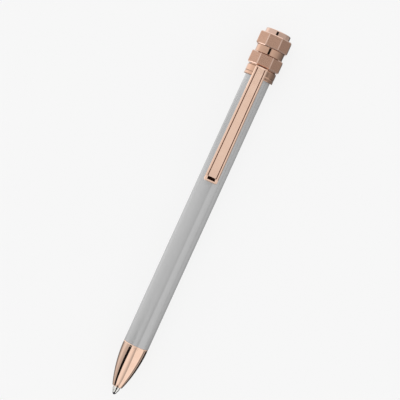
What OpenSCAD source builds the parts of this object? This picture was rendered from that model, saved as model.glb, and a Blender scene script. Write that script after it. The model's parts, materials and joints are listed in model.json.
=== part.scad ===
// Retractable twist-action ballpoint pen with a nut-shaped crown, lying along X with its clip up.
// Lengths are in millimetres. A name ending in _s is a distance along the pen from its writing ball.
// The pen is drawn as in use: the tip stands out, and the crown stands at the start of its turn.

/* [Lengths along the pen] */
// How far the writing tip stands out of the nose
tip_out = 3.0; // [2.6:0.1:3.4]
// Visible length of the nose cone
nose_length = 16.05; // [13:0.05:24]
// Length of the round collar
collar_length = 3.8; // [3.6:0.1:6]
// Dark parting line between the collar and the turning crown
seam = 0.3; // [0.25:0.05:0.5]
// Length of the nut next to the collar
lower_nut_length = 4.4; // [3.6:0.1:7]
// Length of the round neck between the nuts
neck_length = 2.65; // [2:0.05:5]
// Length of the nut near the top
upper_nut_length = 4.65; // [3.6:0.05:7]
// Thickness of the round disc on top
finial_length = 1.8; // [1.4:0.1:3]
// How far the refill slides back into the nose
stroke = 5.0; // [4:0.1:5.5]

/* [Widths across the pen] */
// Room between the refill and the barrel's bore, where the mechanism's housing stands
barrel_room = 1.1; // [0.9:0.05:2]
// Wall of the barrel tube
barrel_wall = 0.45; // [0.3:0.05:0.8]
// Wall of the nose at its mouth
mouth_wall = 0.56; // [0.4:0.02:1]
// How far the collar stands proud of the barrel
collar_step = 0.8; // [0.7:0.05:1.4]
// How far the nuts' flats stand proud of the collar
nut_step = 0.36; // [0.2:0.02:0.8]
// How far the neck is set in from the collar
neck_inset = 0.28; // [0.1:0.02:0.6]
// How far the top disc is set in from the neck
finial_inset = 0.55; // [0.2:0.05:1]

/* [Crown] */
// Number of flats on each nut
nut_sides = 8; // [6:2:12]
// How far the bevel on each edge of a nut reaches in
nut_bevel = 0.35; // [0.15:0.05:0.5]
// Half turn of the crown that draws the tip in, in degrees
twist = 180; // [120:10:180]

/* [Clip] */
// Length of the clip from its bend to its free end
clip_length = 43.0; // [35:0.5:60]
// Width of the clip at its bend
clip_root_w = 4.4; // [4.2:0.1:5.4]
// Width of the clip at its free end
clip_end_w = 4.9; // [4.4:0.1:6.5]
// Thickness of the clip's strip
clip_t = 0.8; // [0.7:0.05:1.2]
// Thickness of the panel laid in the clip
inlay_t = 0.3; // [0.2:0.05:0.35]
// Width of the rim on each side of the panel
rim_w = 0.7; // [0.5:0.05:0.9]
// Width of the groove between rim and panel
groove_w = 0.3; // [0.2:0.05:0.4]
// Gap between the panel's free end and the rim
inlay_end_gap = 1.1; // [0.5:0.1:2]

/* [Refill] */
// Length of the refill with its tip, which sets how long the barrel is
refill_length = 98.1; // [67:0.1:120]
// Diameter of the refill's tube, which sets how thick the pen is
refill_d = 6.0; // [5:0.05:8]
// Wall of the refill's tube
refill_wall = 0.3; // [0.2:0.05:0.4]
// Diameter of the writing tip where it enters the nose
tip_d = 2.4; // [2.2:0.05:2.5]
// Diameter of the writing ball
ball_d = 1.0; // [0.7:0.1:1]
// Share of the tube's free length that the ink fills
ink_share = 0.7; // [0.1:0.05:0.95]

/* [Return spring] */
// Diameter of the spring's wire
wire_d = 0.4; // [0.3:0.05:0.45]
// Number of turns
spring_turns = 7; // [5:0.5:8]

/* [Fits] */
// Radial clearance of parts that turn or slide in each other
run_gap = 0.05; // [0.03:0.01:0.06]
// Radial clearance of parts that are pressed, glued or screwed together
press_gap = 0.02; // [0.01:0.005:0.03]

/* [Hidden] */
$fn = 72;

rose = "#d8ab94";
rose_dark = "#b88c77";
grey = "#b6b7b8";
steel = "#c9ccce";
brass = "#c9a85a";
rubber = "#2a2a2c";
plastic = "#e4e2dc";
ink = "#24406e";

// One overrun for every cut
over = 0.5;

// Outer radii of what the photograph shows
refill_r = refill_d / 2;
tip_r = tip_d / 2;
mouth_r = tip_r + run_gap + mouth_wall;
barrel_bore_r = refill_r + barrel_room;
barrel_r = barrel_bore_r + barrel_wall;
collar_r = barrel_r + collar_step;
nut_apothem = collar_r + nut_step;
neck_r = collar_r - neck_inset;
finial_r = neck_r - finial_inset;

// Front of the pen, from the mouth to where the nose meets the barrel
mouth_s = tip_out;
joint_s = mouth_s + nose_length;

// Mechanism, each part set by the one in front of it: the refill's rear end stands in the plunger's cup
cup_depth = 1.0;
head_s = refill_length - cup_depth;
head_length = 2.5;
cam_clear = 1.7;
cam_s = head_s + head_length + stroke + cam_clear;
cam_front_wall = 2.2;
follower_s = cam_s + cam_front_wall;
follower_back = 2.0;
plunger_end_s = follower_s + follower_back;
plunger_end_gap = 0.3;
plug_s = plunger_end_s + stroke + plunger_end_gap;
plug_length = 3.2;
cam_end_s = plug_s + plug_length;
washer_t = 0.4;
bearing_s = cam_end_s + washer_t;
bearing_length = 3.2;
flange_end_s = bearing_s + bearing_length;
flange_t = 0.6;
flange_s = flange_end_s - flange_t;

// Collar and what it holds: the barrel's end, the housing's flange, its own plate, and a seat on top
seat_depth = 1.1;
collar_plate_t = 0.5;
barrel_in_collar = collar_length - seat_depth - collar_plate_t - flange_t;
collar_s = flange_s - barrel_in_collar;
collar_end_s = collar_s + collar_length;
seat_s = collar_end_s - seat_depth;
seat_wall = 0.7;
seat_r = collar_r - seat_wall;
collar_edge = 0.5;
collar_groove_back = 1.2;
collar_groove = 0.24;

// Crown, from its parting line to the disc's top
crown_s = collar_end_s + seam;
neck_s = crown_s + lower_nut_length;
upper_nut_s = neck_s + neck_length;
finial_s = upper_nut_s + upper_nut_length;
pen_length = finial_s + finial_length;
neck_swell = 0.12;
finial_edge = 0.8;

// Fixed housing of the mechanism, inside the barrel's bore
housing_r = barrel_bore_r - press_gap;
housing_wall = 0.55;
housing_bore_r = housing_r - housing_wall;
housing_lead = 9.0;
housing_s = cam_s - housing_lead;
boss_step = 1.25;
boss_r = barrel_r - boss_step;
boss_clear = 0.15;
boss_end_s = crown_s - boss_clear;

// Clip ring under its ring nut, round the boss
ring_t = 0.6;
ring_r = seat_r - press_gap;
ring_nut_r = seat_r - run_gap;

// Spindle
boss_wall = 1.0;
journal_r = boss_r - boss_wall - run_gap;
flat_depth = 0.35;
drive_flats = 2 * (journal_r - flat_depth);
spindle_wall = 0.75;
spindle_tap_r = journal_r - spindle_wall;
spindle_tap_length = 7.5;
spindle_short = 0.7;
spindle_end_s = finial_s - spindle_short;
finial_shank_length = 7.2;
friction_cord = 0.7;
friction_groove_w = 0.9;
friction_s = bearing_s + bearing_length / 2;

// Cam sleeve in the housing, and the plunger in the cam's bore
cam_r = housing_bore_r - run_gap;
cam_wall = 0.85;
cam_bore_r = cam_r - cam_wall;
cam_steps = 16;
plunger_r = cam_bore_r - run_gap;
head_r = housing_bore_r - run_gap;
follower_d = 1.0;
follower_half = housing_r - 2 * run_gap;
slot_play = 0.1;

// Refill, from the ball back
ball_r = ball_d / 2;
ball_out_share = 0.3;
ball_out = ball_out_share * ball_d;
socket_gap = 0.02;
tip_face_share = 0.55;
tip_face_r = tip_face_share * ball_d;
cone_end_s = 2.6;
tip_end_s = 4.6;
shank_step = 0.35;
shank_r = tip_r - shank_step;
shank_length = 2.9;
duct_r = 0.3;
nozzle_step_s = 7.6;
nozzle_step = 0.4;
nozzle_r = tip_r + nozzle_step;
shoulder_s = 16.0;
shoulder_t = 1.0;
nozzle_plug_length = 3.0;
tube_s = shoulder_s + shoulder_t;
refill_plug_length = 4.0;
refill_plug_s = refill_length - refill_plug_length;
ink_s = tube_s + nozzle_plug_length;
vent_r = 0.4;

// Bores of the nose: mouth, spring chamber, refill chamber
mouth_bore_r = tip_r + run_gap;
mouth_edge = 0.3;
spring_room = 0.75;
chamber_r = nozzle_r + spring_room;
chamber_lead = 0.6;
chamber_s = nozzle_step_s - chamber_lead;
refill_play = 0.15;
refill_chamber_r = refill_r + refill_play;
shoulder_lead = 1.5;
refill_chamber_s = shoulder_s - shoulder_lead;
spigot_length = 6.0;
bushing_wall = 0.4;
bushing_r = barrel_bore_r - press_gap;
spigot_r = bushing_r - bushing_wall - press_gap;
bushing_lead = 0.3;
bushing_length = 7.2;
nose_steps = 24;

// Return spring, between the end of the mouth bore and the refill's shoulder
spring_seat_gap = 0.02;
spring_r = (nozzle_r + chamber_r) / 2;
spring_start_s = chamber_s + wire_d / 2 + spring_seat_gap;
spring_length = shoulder_s - chamber_s - wire_d - 2 * spring_seat_gap;
spring_rings = 8;
wire_sides = 6;

// Clip, over the collar and along the barrel
clip_lift = 0.07;
clip_bottom = collar_r + clip_lift;
clip_top = clip_bottom + clip_t;
clip_end_s = collar_end_s - clip_length;
clip_bend = 0.6;
clip_corner = 0.7;
clip_bevel = 0.25;
leg_w = 3.0;
leg_play = 0.03;
knuckle_r = ring_t / 2;
knuckle_s = seat_s + knuckle_r;
knuckle_z = clip_bottom;
bead_back = 2.8;
bead_length = 4.0;
bead_gap = 0.05;
clip_nose = 0.35;

axis_z = nut_apothem;

// Stands children along the pen's axis, their own +Z towards the crown
module along(s) {
    translate([s - pen_length / 2, 0, axis_z])
        rotate([0, 90, 0])
            children();
}

// Lays children drawn in the pen's side view: x is the distance from the ball, y the height over the axis
module side_view(width) {
    translate([-pen_length / 2, width / 2, axis_z])
        rotate([90, 0, 0])
            linear_extrude(height = width)
                children();
}

// Lays children drawn in the view from above: x is the distance from the ball, y runs across the pen
module top_view(low, high) {
    translate([-pen_length / 2, 0, axis_z + low])
        linear_extrude(height = high - low)
            children();
}

// A turned ring between two distances
module ring(from_s, to_s, outer_r, inner_r) {
    along(from_s)
        difference() {
            cylinder(r = outer_r, h = to_s - from_s);
            translate([0, 0, -over])
                cylinder(r = inner_r, h = to_s - from_s + 2 * over);
        }
}

// A plain turned bar between two distances
module bar(from_s, to_s, r) {
    along(from_s)
        cylinder(r = r, h = to_s - from_s);
}

// A stepped turned bar: each step gives its radius and the distance that it reaches
module turned(from_s, steps) {
    count = len(steps);
    outline = [for (i = [0:count - 1])
        let (start = i == 0 ? from_s : steps[i - 1].y)
        for (s = [start, steps[i].y])
            [steps[i].x, s - from_s]];
    along(from_s)
        rotate_extrude()
            polygon(concat([[0, 0]], outline, [[0, steps[count - 1].y - from_s]]));
}

function arc(centre, r, from, to, steps) =
    [for (i = [0:steps]) let (a = from + (to - from) * i / steps)
        centre + r * [cos(a), sin(a)]];

module barrel_tube() {
    color(grey)
        ring(joint_s, flange_s, barrel_r, barrel_bore_r);
}

// The nose's outside is one arc that meets the barrel without a corner
nose_drop = barrel_r - mouth_r;
nose_arc_r = (nose_length * nose_length + nose_drop * nose_drop) / (2 * nose_drop);
lip_swing = asin((nose_length - mouth_edge) / (nose_arc_r - mouth_edge));
lip_r = barrel_r - nose_arc_r + (nose_arc_r - mouth_edge) * cos(lip_swing);

module nose_cone() {
    outline = concat(
        [[0, 0]],
        arc([lip_r, mouth_edge], mouth_edge, -90, -lip_swing, 6),
        arc([barrel_r - nose_arc_r, nose_length], nose_arc_r, -lip_swing, 0, nose_steps),
        [[spigot_r, nose_length], [spigot_r, nose_length + spigot_length], [0, nose_length + spigot_length]]
    );
    color(rose)
        difference() {
            along(mouth_s)
                rotate_extrude()
                    polygon(outline);
            bar(mouth_s - over, chamber_s + over, mouth_bore_r);
            bar(chamber_s, refill_chamber_s + over, chamber_r);
            bar(refill_chamber_s, joint_s + spigot_length + over, refill_chamber_r);
        }
}

module nose_bushing() {
    color(brass)
        ring(joint_s + bushing_lead, joint_s + bushing_lead + bushing_length, bushing_r, spigot_r + press_gap);
}

// A cup over the barrel's end: its plate sits on the housing's flange, and its seat holds the clip's ring
module collar() {
    outline = concat(
        [[0, 0], [collar_r - collar_edge / 2, 0]],
        arc([collar_r - collar_edge / 2, collar_edge / 2], collar_edge / 2, -90, 0, 5),
        [
            [collar_r, collar_groove_back - collar_groove],
            [collar_r - collar_groove, collar_groove_back],
            [collar_r, collar_groove_back + collar_groove]
        ],
        arc([collar_r - collar_edge, collar_length - collar_edge], collar_edge, 0, 90, 8),
        [[0, collar_length]]
    );
    color(rose_dark)
        difference() {
            along(collar_s)
                rotate_extrude()
                    polygon(outline);
            bar(collar_s - over, flange_end_s, barrel_r + press_gap);
            bar(collar_s, collar_end_s, boss_r + press_gap);
            bar(seat_s, collar_end_s + over, seat_r);
            leg_slot();
        }
}

// The slot in the collar's wall that the clip's leg stands in
module leg_slot() {
    top_view(seat_r / 2, collar_r + over)
        translate([seat_s, -leg_w / 2 - run_gap])
            square([seat_depth + over, leg_w + 2 * run_gap]);
}

// A washer with one leg that carries the clip
module clip_ring() {
    leg_foot = (boss_r + ring_r) / 2;
    color(rose)
        union() {
            ring(seat_s, seat_s + ring_t, ring_r, boss_r + press_gap);
            side_view(leg_w) {
                translate([seat_s, leg_foot])
                    square([ring_t, knuckle_z - leg_foot]);
                translate([knuckle_s, knuckle_z])
                    circle(r = knuckle_r);
            }
        }
}

module clip_nut() {
    color(steel)
        ring(seat_s + ring_t, boss_end_s, ring_nut_r, boss_r + press_gap);
}

// A sleeve with two straight slots for the follower pin, a flange under the collar and a threaded boss
module mechanism_housing() {
    color(brass)
        difference() {
            turned(housing_s, [
                [housing_r, flange_s],
                [barrel_r - press_gap, flange_end_s],
                [boss_r, boss_end_s]
            ]);
            bar(housing_s - over, bearing_s, housing_bore_r);
            bar(housing_s, boss_end_s + over, journal_r + run_gap);
            guide_slots();
        }
}

// Straight slots, as long as the stroke, through both walls of the housing
module guide_slots() {
    guide_r = follower_d / 2 + run_gap;
    along(follower_s)
        translate([-guide_r, -housing_r - over, 0])
            cube([2 * guide_r, 2 * (housing_r + over), stroke]);
    for (s = [follower_s, follower_s + stroke])
        cross_drill(s, 0, guide_r);
}

// A round cutter across the axis at an angle about it
module cross_drill(s, angle, r) {
    along(s)
        rotate([0, 0, angle])
            rotate([90, 0, 0])
                cylinder(r = r, h = 2 * (housing_r + over), center = true);
}

// A ribbon through the cam's wall that climbs by the stroke while it turns back by the twist
slot_r = follower_d / 2 + slot_play;
slot_slope = atan(stroke / (twist * PI / 180 * cam_bore_r));
ribbon_half = slot_r / cos(slot_slope);
ribbon_in = cam_bore_r - over;
ribbon_out = cam_r + over;

ribbon_points = [for (i = [0:cam_steps])
    let (a = 90 - twist * i / cam_steps, z = stroke * i / cam_steps)
    for (corner = [[ribbon_out, -1], [ribbon_out, 1], [ribbon_in, 1], [ribbon_in, -1]])
        [corner.x * cos(a), corner.x * sin(a), z + corner.y * ribbon_half]];

ribbon_faces = concat(
    [[0, 1, 2], [0, 2, 3]],
    [for (i = [0:cam_steps - 1], j = [0:3], half = [0, 1])
        let (a = 4 * i + j, b = 4 * i + (j + 1) % 4)
        half == 0 ? [a, a + 4, b] : [b, a + 4, b + 4]],
    [[4 * cam_steps, 4 * cam_steps + 2, 4 * cam_steps + 1], [4 * cam_steps, 4 * cam_steps + 3, 4 * cam_steps + 2]]
);

// Two helical slots with round ends: the crown's turn drives the pin along them
module cam_sleeve() {
    color(steel)
        difference() {
            ring(cam_s, cam_end_s, cam_r, cam_bore_r);
            for (side = [0, 180])
                along(follower_s)
                    rotate([0, 0, side])
                        polyhedron(points = ribbon_points, faces = ribbon_faces);
            for (end = [0, 1])
                cross_drill(follower_s + stroke * end, -twist * end, slot_r);
        }
}

// The double-D section that turns the nuts with the spindle
module drive_section(r, flats) {
    intersection() {
        circle(r = r);
        square([flats, 2 * r + over], center = true);
    }
}

module crown_spindle() {
    color(steel)
        difference() {
            turned(plug_s, [
                [cam_bore_r - press_gap, cam_end_s],
                [journal_r, spindle_end_s]
            ]);
            along(crown_s)
                linear_extrude(height = spindle_end_s - crown_s + over)
                    difference() {
                        circle(r = journal_r + over);
                        square([drive_flats, 2 * journal_r + 4 * over], center = true);
                    }
            ring(
                friction_s - friction_groove_w / 2, friction_s + friction_groove_w / 2,
                journal_r + over, journal_r + run_gap - friction_cord - 2 * press_gap
            );
            bar(spindle_end_s - spindle_tap_length, spindle_end_s + over, spindle_tap_r + press_gap);
        }
}

module thrust_washer() {
    color(brass)
        ring(cam_end_s, bearing_s, cam_r, journal_r + run_gap);
}

module friction_ring() {
    cord_r = friction_cord / 2;
    color(rubber)
        along(friction_s)
            rotate_extrude()
                translate([journal_r + run_gap - press_gap - cord_r, 0])
                    circle(r = cord_r);
}

// A prism with every edge bevelled, its first flat facing up
module nut_blank(height) {
    corner_cut = nut_bevel * cos(45) * tan(180 / nut_sides);
    module slab(inset, low, high) {
        intersection() {
            translate([0, 0, low])
                rotate([0, 0, 180 / nut_sides])
                    cylinder(r = (nut_apothem - inset) / cos(180 / nut_sides), h = high - low, $fn = nut_sides);
            translate([0, 0, low])
                cylinder(
                    r = (nut_apothem / cos(180 / nut_sides) - corner_cut - inset) / cos(180 / nut_sides),
                    h = high - low, $fn = nut_sides
                );
        }
    }
    hull() {
        slab(0, nut_bevel, height - nut_bevel);
        slab(nut_bevel, 0, height);
    }
}

module nut(from_s, to_s) {
    along(from_s)
        difference() {
            nut_blank(to_s - from_s);
            translate([0, 0, -over])
                linear_extrude(height = to_s - from_s + 2 * over)
                    drive_section(journal_r + press_gap, drive_flats + 2 * press_gap);
        }
}

module lower_nut() {
    color(rose_dark)
        nut(crown_s, neck_s);
}

module upper_nut() {
    color(rose_dark)
        nut(upper_nut_s, finial_s);
}

// A round waist, slightly swollen in its middle
module neck_sleeve() {
    swell_r = (neck_length * neck_length / 4 + neck_swell * neck_swell) / (2 * neck_swell);
    swing = asin(neck_length / 2 / swell_r);
    color(rose_dark)
        along(neck_s)
            difference() {
                rotate_extrude()
                    polygon(concat(
                        [[0, 0]],
                        arc([neck_r - swell_r, neck_length / 2], swell_r, -swing, swing, 10),
                        [[0, neck_length]]
                    ));
                translate([0, 0, -over])
                    linear_extrude(height = neck_length + 2 * over)
                        drive_section(journal_r + press_gap, drive_flats + 2 * press_gap);
            }
}

// A disc with a rounded edge on a shank that screws into the spindle
module finial_screw() {
    color(rose_dark)
        along(finial_s)
            rotate_extrude()
                polygon(concat(
                    [[0, -finial_shank_length], [spindle_tap_r, -finial_shank_length], [spindle_tap_r, 0], [finial_r, 0]],
                    arc([finial_r - finial_edge, finial_length - finial_edge], finial_edge, 0, 90, 10),
                    [[0, finial_length]]
                ));
}

// Outline of the clip from above, inset by its own amount from its sides, its bend and its free end
module clip_plan(inset, root_inset, end_inset, corner) {
    root_s = collar_end_s - root_inset;
    end_s = clip_end_s + end_inset;
    root_half = clip_root_w / 2 - inset;
    end_half = clip_end_w / 2 - inset;
    polygon(concat(
        arc([end_s + corner, end_half - corner], corner, 180, 90, 6),
        [[root_s, root_half], [root_s, -root_half]],
        arc([end_s + corner, -end_half + corner], corner, -90, -180, 6)
    ));
}

// The strip's own section: rounded over at the bend, a bead under the free end, and a lifted lead-in
module clip_profile() {
    bead_s = clip_end_s + bead_back;
    bead_drop = clip_bottom - barrel_r - bead_gap;
    bead_r = (bead_length * bead_length / 4 + bead_drop * bead_drop) / (2 * bead_drop);
    bead_swing = asin(bead_length / 2 / bead_r);
    polygon(concat(
        [[collar_end_s, clip_bottom]],
        arc([collar_end_s - clip_bend, clip_top - clip_bend], clip_bend, 0, 90, 8),
        arc([clip_end_s + clip_nose, clip_top - clip_nose], clip_nose, 90, 180, 5),
        [[clip_end_s, clip_bottom + clip_nose]],
        arc([bead_s, barrel_r + bead_gap + bead_r], bead_r, -90 - bead_swing, -90 + bead_swing, 12)
    ));
}

// The space over the clip's floor, which follows the bend as deep as the panel is thick
module over_floor() {
    difference() {
        translate([clip_end_s, clip_top - clip_bend])
            square([clip_length + over, clip_bend + over]);
        polygon(concat(
            [[clip_end_s, clip_bottom], [collar_end_s - inlay_t, clip_bottom]],
            arc([collar_end_s - clip_bend, clip_top - clip_bend], clip_bend - inlay_t, 0, 90, 8),
            [[clip_end_s, clip_top - inlay_t]]
        ));
    }
}

// A wedge along one upper side edge of the clip
module side_bevel(side) {
    taper = atan2((clip_end_w - clip_root_w) / 2, clip_length);
    wedge = 2 * clip_bevel;
    translate([clip_end_s - pen_length / 2, side * clip_end_w / 2, axis_z + clip_top - clip_bevel])
        rotate([0, 0, -side * taper])
            translate([-over, 0, 0])
                rotate([45, 0, 0])
                    cube([clip_length + 2 * over, wedge, wedge]);
}

// The socket in the clip's underside that turns on the ring's leg
module knuckle_socket() {
    socket_r = knuckle_r + leg_play;
    side_view(leg_w + 2 * run_gap) {
        translate([knuckle_s, knuckle_z])
            circle(r = socket_r);
        translate([knuckle_s - socket_r, clip_bottom - over])
            square([2 * socket_r, over]);
    }
}

module clip_arm() {
    widest = max(clip_root_w, clip_end_w) + 2 * over;
    color(rose)
        difference() {
            intersection() {
                side_view(widest)
                    clip_profile();
                top_view(0, clip_top + over)
                    clip_plan(0, 0, 0, clip_corner);
            }
            intersection() {
                side_view(widest)
                    over_floor();
                top_view(0, clip_top + 2 * over)
                    clip_plan(rim_w, -2 * over, rim_w, clip_corner / 2);
            }
            for (side = [-1, 1])
                side_bevel(side);
            knuckle_socket();
        }
}

// The panel lies on the clip's floor and follows it round the bend
module clip_inlay() {
    color(rose)
        intersection() {
            side_view(clip_end_w + clip_root_w)
                intersection() {
                    clip_profile();
                    over_floor();
                }
            top_view(0, clip_top + over)
                clip_plan(rim_w + groove_w, -over, rim_w + inlay_end_gap, clip_corner / 2);
        }
}

// A rod in the cam's bore, with a head that cups the refill's end
module plunger() {
    color(plastic)
        difference() {
            turned(head_s, [
                [head_r, head_s + head_length],
                [plunger_r, plunger_end_s]
            ]);
            bar(head_s - over, head_s + cup_depth, refill_r + press_gap);
            cross_drill(follower_s, 0, follower_d / 2 + press_gap);
        }
}

module follower_pin() {
    color(steel)
        along(follower_s)
            rotate([90, 0, 0])
                cylinder(d = follower_d, h = 2 * follower_half, center = true);
}

module refill_tube() {
    color(steel)
        ring(tube_s, refill_length, refill_r, refill_r - refill_wall);
}

module refill_plug() {
    color(plastic)
        ring(refill_plug_s, refill_length, refill_r - refill_wall - press_gap, vent_r);
}

module ink_column() {
    color(ink)
        bar(ink_s, ink_s + ink_share * (refill_plug_s - ink_s), refill_r - refill_wall - press_gap);
}

// Stepped front of the refill: a thin front, the spring's seat, and a plug in the tube
module refill_nozzle() {
    color(plastic)
        difference() {
            turned(tip_end_s, [
                [tip_r, nozzle_step_s],
                [nozzle_r, shoulder_s],
                [refill_r, tube_s],
                [refill_r - refill_wall - press_gap, ink_s]
            ]);
            bar(tip_end_s - over, tip_end_s + shank_length, shank_r + press_gap);
            bar(tip_end_s, ink_s + over, duct_r);
        }
}

// The metal cone that holds the ball
module refill_tip() {
    color(steel)
        difference() {
            along(ball_out)
                rotate_extrude()
                    polygon([
                        [0, 0],
                        [tip_face_r, 0],
                        [tip_r, cone_end_s - ball_out],
                        [tip_r, tip_end_s - ball_out],
                        [shank_r, tip_end_s - ball_out],
                        [shank_r, tip_end_s + shank_length - ball_out],
                        [0, tip_end_s + shank_length - ball_out]
                    ]);
            along(ball_r)
                sphere(r = ball_r + socket_gap);
            bar(ball_r, tip_end_s + shank_length + over, duct_r);
        }
}

module writing_ball() {
    color(rubber)
        along(ball_r)
            sphere(r = ball_r);
}

// Compression spring: one wire swept along a helix
spring_steps = spring_turns * spring_rings;

function helix_point(i) =
    let (a = 360 * i / spring_rings)
    [spring_r * cos(a), spring_r * sin(a), spring_length * i / spring_steps];

// A point on the wire's skin, square to the helix
function wire_point(i, j) =
    let (
        a = 360 * i / spring_rings,
        rise = spring_length / spring_turns / 360 * 180 / PI,
        tangent = [-spring_r * sin(a), spring_r * cos(a), rise] / norm([spring_r, rise]),
        outward = [cos(a), sin(a), 0],
        b = 360 * j / wire_sides
    )
    helix_point(i) + wire_d / 2 * (cos(b) * outward + sin(b) * cross(tangent, outward));

spring_points = [for (i = [0:spring_steps], j = [0:wire_sides - 1]) wire_point(i, j)];

// Each band between two rings is split into triangles, and each end is a fan
spring_faces = concat(
    [for (i = [0:spring_steps - 1], j = [0:wire_sides - 1], half = [0, 1])
        let (
            a = i * wire_sides + j,
            b = i * wire_sides + (j + 1) % wire_sides
        )
        half == 0 ? [a, b, a + wire_sides] : [b, b + wire_sides, a + wire_sides]],
    [for (j = [1:wire_sides - 2]) [0, j + 1, j]],
    [for (j = [1:wire_sides - 2])
        let (last = spring_steps * wire_sides)
        [last, last + j, last + j + 1]]
);

// Least distance between two stretches of the wire that are half a turn apart or more
spring_gap = min([for (i = [0:spring_steps], j = [i + spring_rings / 2:spring_steps])
    norm(helix_point(i) - helix_point(j))]) - wire_d;

module return_spring() {
    echo("least gap of the spring to itself, mm", spring_gap);
    color(steel)
        along(spring_start_s)
            polyhedron(points = spring_points, faces = spring_faces);
}

barrel_tube();
nose_cone();
nose_bushing();
collar();
clip_ring();
clip_nut();
mechanism_housing();
return_spring();
clip_arm();
clip_inlay();
lower_nut();
neck_sleeve();
upper_nut();
finial_screw();
crown_spindle();
thrust_washer();
friction_ring();
cam_sleeve();
plunger();
follower_pin();
refill_tube();
refill_plug();
ink_column();
refill_nozzle();
refill_tip();
writing_ball();
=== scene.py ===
# %% [markdown]
# # A twist pen in rose gold and grey, dressed round its CAD frame
#
# The pen lies on its side along X: the writing ball is at the low end, the crown at the high end, and
# the clip faces up. The CAD model gives every piece its place. This lesson gives the visible pieces
# eased edges and real finishes, then lights and frames them as a small studio would.

import json
from math import acos, asin, cos, degrees, hypot, pi, radians, sin

import bpy
from mathutils import Matrix, Vector


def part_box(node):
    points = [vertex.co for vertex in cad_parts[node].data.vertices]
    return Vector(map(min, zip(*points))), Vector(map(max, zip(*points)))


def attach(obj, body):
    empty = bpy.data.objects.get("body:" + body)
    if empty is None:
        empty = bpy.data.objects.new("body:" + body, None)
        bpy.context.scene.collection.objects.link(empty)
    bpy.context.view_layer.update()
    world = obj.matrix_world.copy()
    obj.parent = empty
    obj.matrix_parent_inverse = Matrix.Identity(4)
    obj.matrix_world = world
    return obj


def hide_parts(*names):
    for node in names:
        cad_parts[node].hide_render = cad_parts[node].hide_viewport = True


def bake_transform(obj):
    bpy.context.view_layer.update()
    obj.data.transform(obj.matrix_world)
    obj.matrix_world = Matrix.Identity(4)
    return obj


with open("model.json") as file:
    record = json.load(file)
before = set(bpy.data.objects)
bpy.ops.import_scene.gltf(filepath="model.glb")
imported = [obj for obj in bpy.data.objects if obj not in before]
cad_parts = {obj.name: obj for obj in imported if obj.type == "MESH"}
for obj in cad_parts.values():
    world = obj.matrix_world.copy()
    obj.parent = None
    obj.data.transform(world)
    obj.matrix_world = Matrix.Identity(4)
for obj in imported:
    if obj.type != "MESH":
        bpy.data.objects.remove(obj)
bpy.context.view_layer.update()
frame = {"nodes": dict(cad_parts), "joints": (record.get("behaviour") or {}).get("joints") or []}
nodes = frame["nodes"]

# %% [markdown]
# ## Places along the pen
#
# A pen maker measures from the writing ball, in millimetres. The CAD model does the same, with its
# origin under the middle of the pen. So one function turns a distance from the ball and a radius into
# a point, and every piece below can be drawn in the maker's own numbers.

# %% Distances from the ball, in millimetres
MM = 0.001
barrel_low, barrel_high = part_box("barrel_tube")
pen_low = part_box("writing_ball")[0].x
crown_twist = next(joint for joint in frame["joints"] if joint["name"] == "crown_twist")
AXIS_Z = crown_twist["pos_m"][2]


def along(s):
    """X of a place that is s millimetres from the writing ball."""
    return pen_low + s * MM


def distance(x):
    """Millimetres from the writing ball to a place at X."""
    return (x - pen_low) / MM


JOINT = distance(barrel_low.x)
BARREL_R = (barrel_high.y - barrel_low.y) / 2 / MM
print(f"Pen axis {AXIS_Z / MM:.2f} mm up, barrel radius {BARREL_R:.2f} mm")
print(f"The nose meets the barrel {JOINT:.2f} mm from the ball")

# %% [markdown]
# ## Small tools for modelling
#
# Blender's operators act on whatever is selected, and loading the frame leaves its nodes selected.
# Each piece therefore starts by clearing the selection. A finished piece ends at the origin, unturned
# and unscaled, so that patterns on its object coordinates keep their place when the pen moves. Smooth
# shading bends the light on a flat face next to a bevel, so the Weighted Normal modifier gives the large
# faces the last word: flats stay flat, and only the bevels turn. Some pieces take a second finish on a few
# of their faces, which are picked out by a test of where they are and which way they point.


# %% Select, finish and paint
def start_clean():
    """Leaves edit mode and selects nothing."""
    if bpy.context.object and bpy.context.object.mode != "OBJECT":
        bpy.ops.object.mode_set(mode="OBJECT")
    bpy.ops.object.select_all(action="DESELECT")


def select_only(piece):
    """Selects one piece and makes it the active one."""
    start_clean()
    piece.select_set(True)
    bpy.context.view_layer.objects.active = piece


def apply_modifier(piece, kind, **settings):
    """Adds one modifier with its settings and applies it."""
    select_only(piece)
    modifier = piece.modifiers.new(kind.title(), kind)
    for name, value in settings.items():
        setattr(modifier, name, value)
    bpy.ops.object.modifier_apply(modifier=modifier.name)


def turn_faces_outwards():
    """Turns every face of the piece in edit mode outwards, and leaves edit mode."""
    bpy.ops.mesh.select_all(action="SELECT")
    bpy.ops.mesh.normals_make_consistent(inside=False)
    bpy.ops.object.mode_set(mode="OBJECT")


def finish_piece(piece, body, replaced, finish, crease=28):
    """Places a piece for good, smooths its angles up to the crease in degrees, and gives it its finish.

    The piece rides on the body, if one is given, and stands for the replaced CAD node, which it hides.
    """
    select_only(piece)
    bpy.ops.object.transform_apply(location=True, rotation=True, scale=True)
    bpy.ops.object.shade_smooth_by_angle(angle=radians(crease))
    apply_modifier(piece, "WEIGHTED_NORMAL", keep_sharp=True, weight=100, thresh=0.0)
    piece.data.materials.clear()
    piece.data.materials.append(finish)
    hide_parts(replaced)
    if body:
        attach(piece, body)
    print(f"{piece.name}: {len(piece.data.polygons)} faces, rides on {body}")


def paint_faces(piece, finish, chosen):
    """Gives a second finish to the faces that a test picks out."""
    piece.data.materials.append(finish)
    picked = [face for face in piece.data.polygons if chosen(face)]
    for face in picked:
        face.material_index = len(piece.data.materials) - 1
    print(f"{piece.name}: {len(picked)} faces in {finish.name}")


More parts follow.
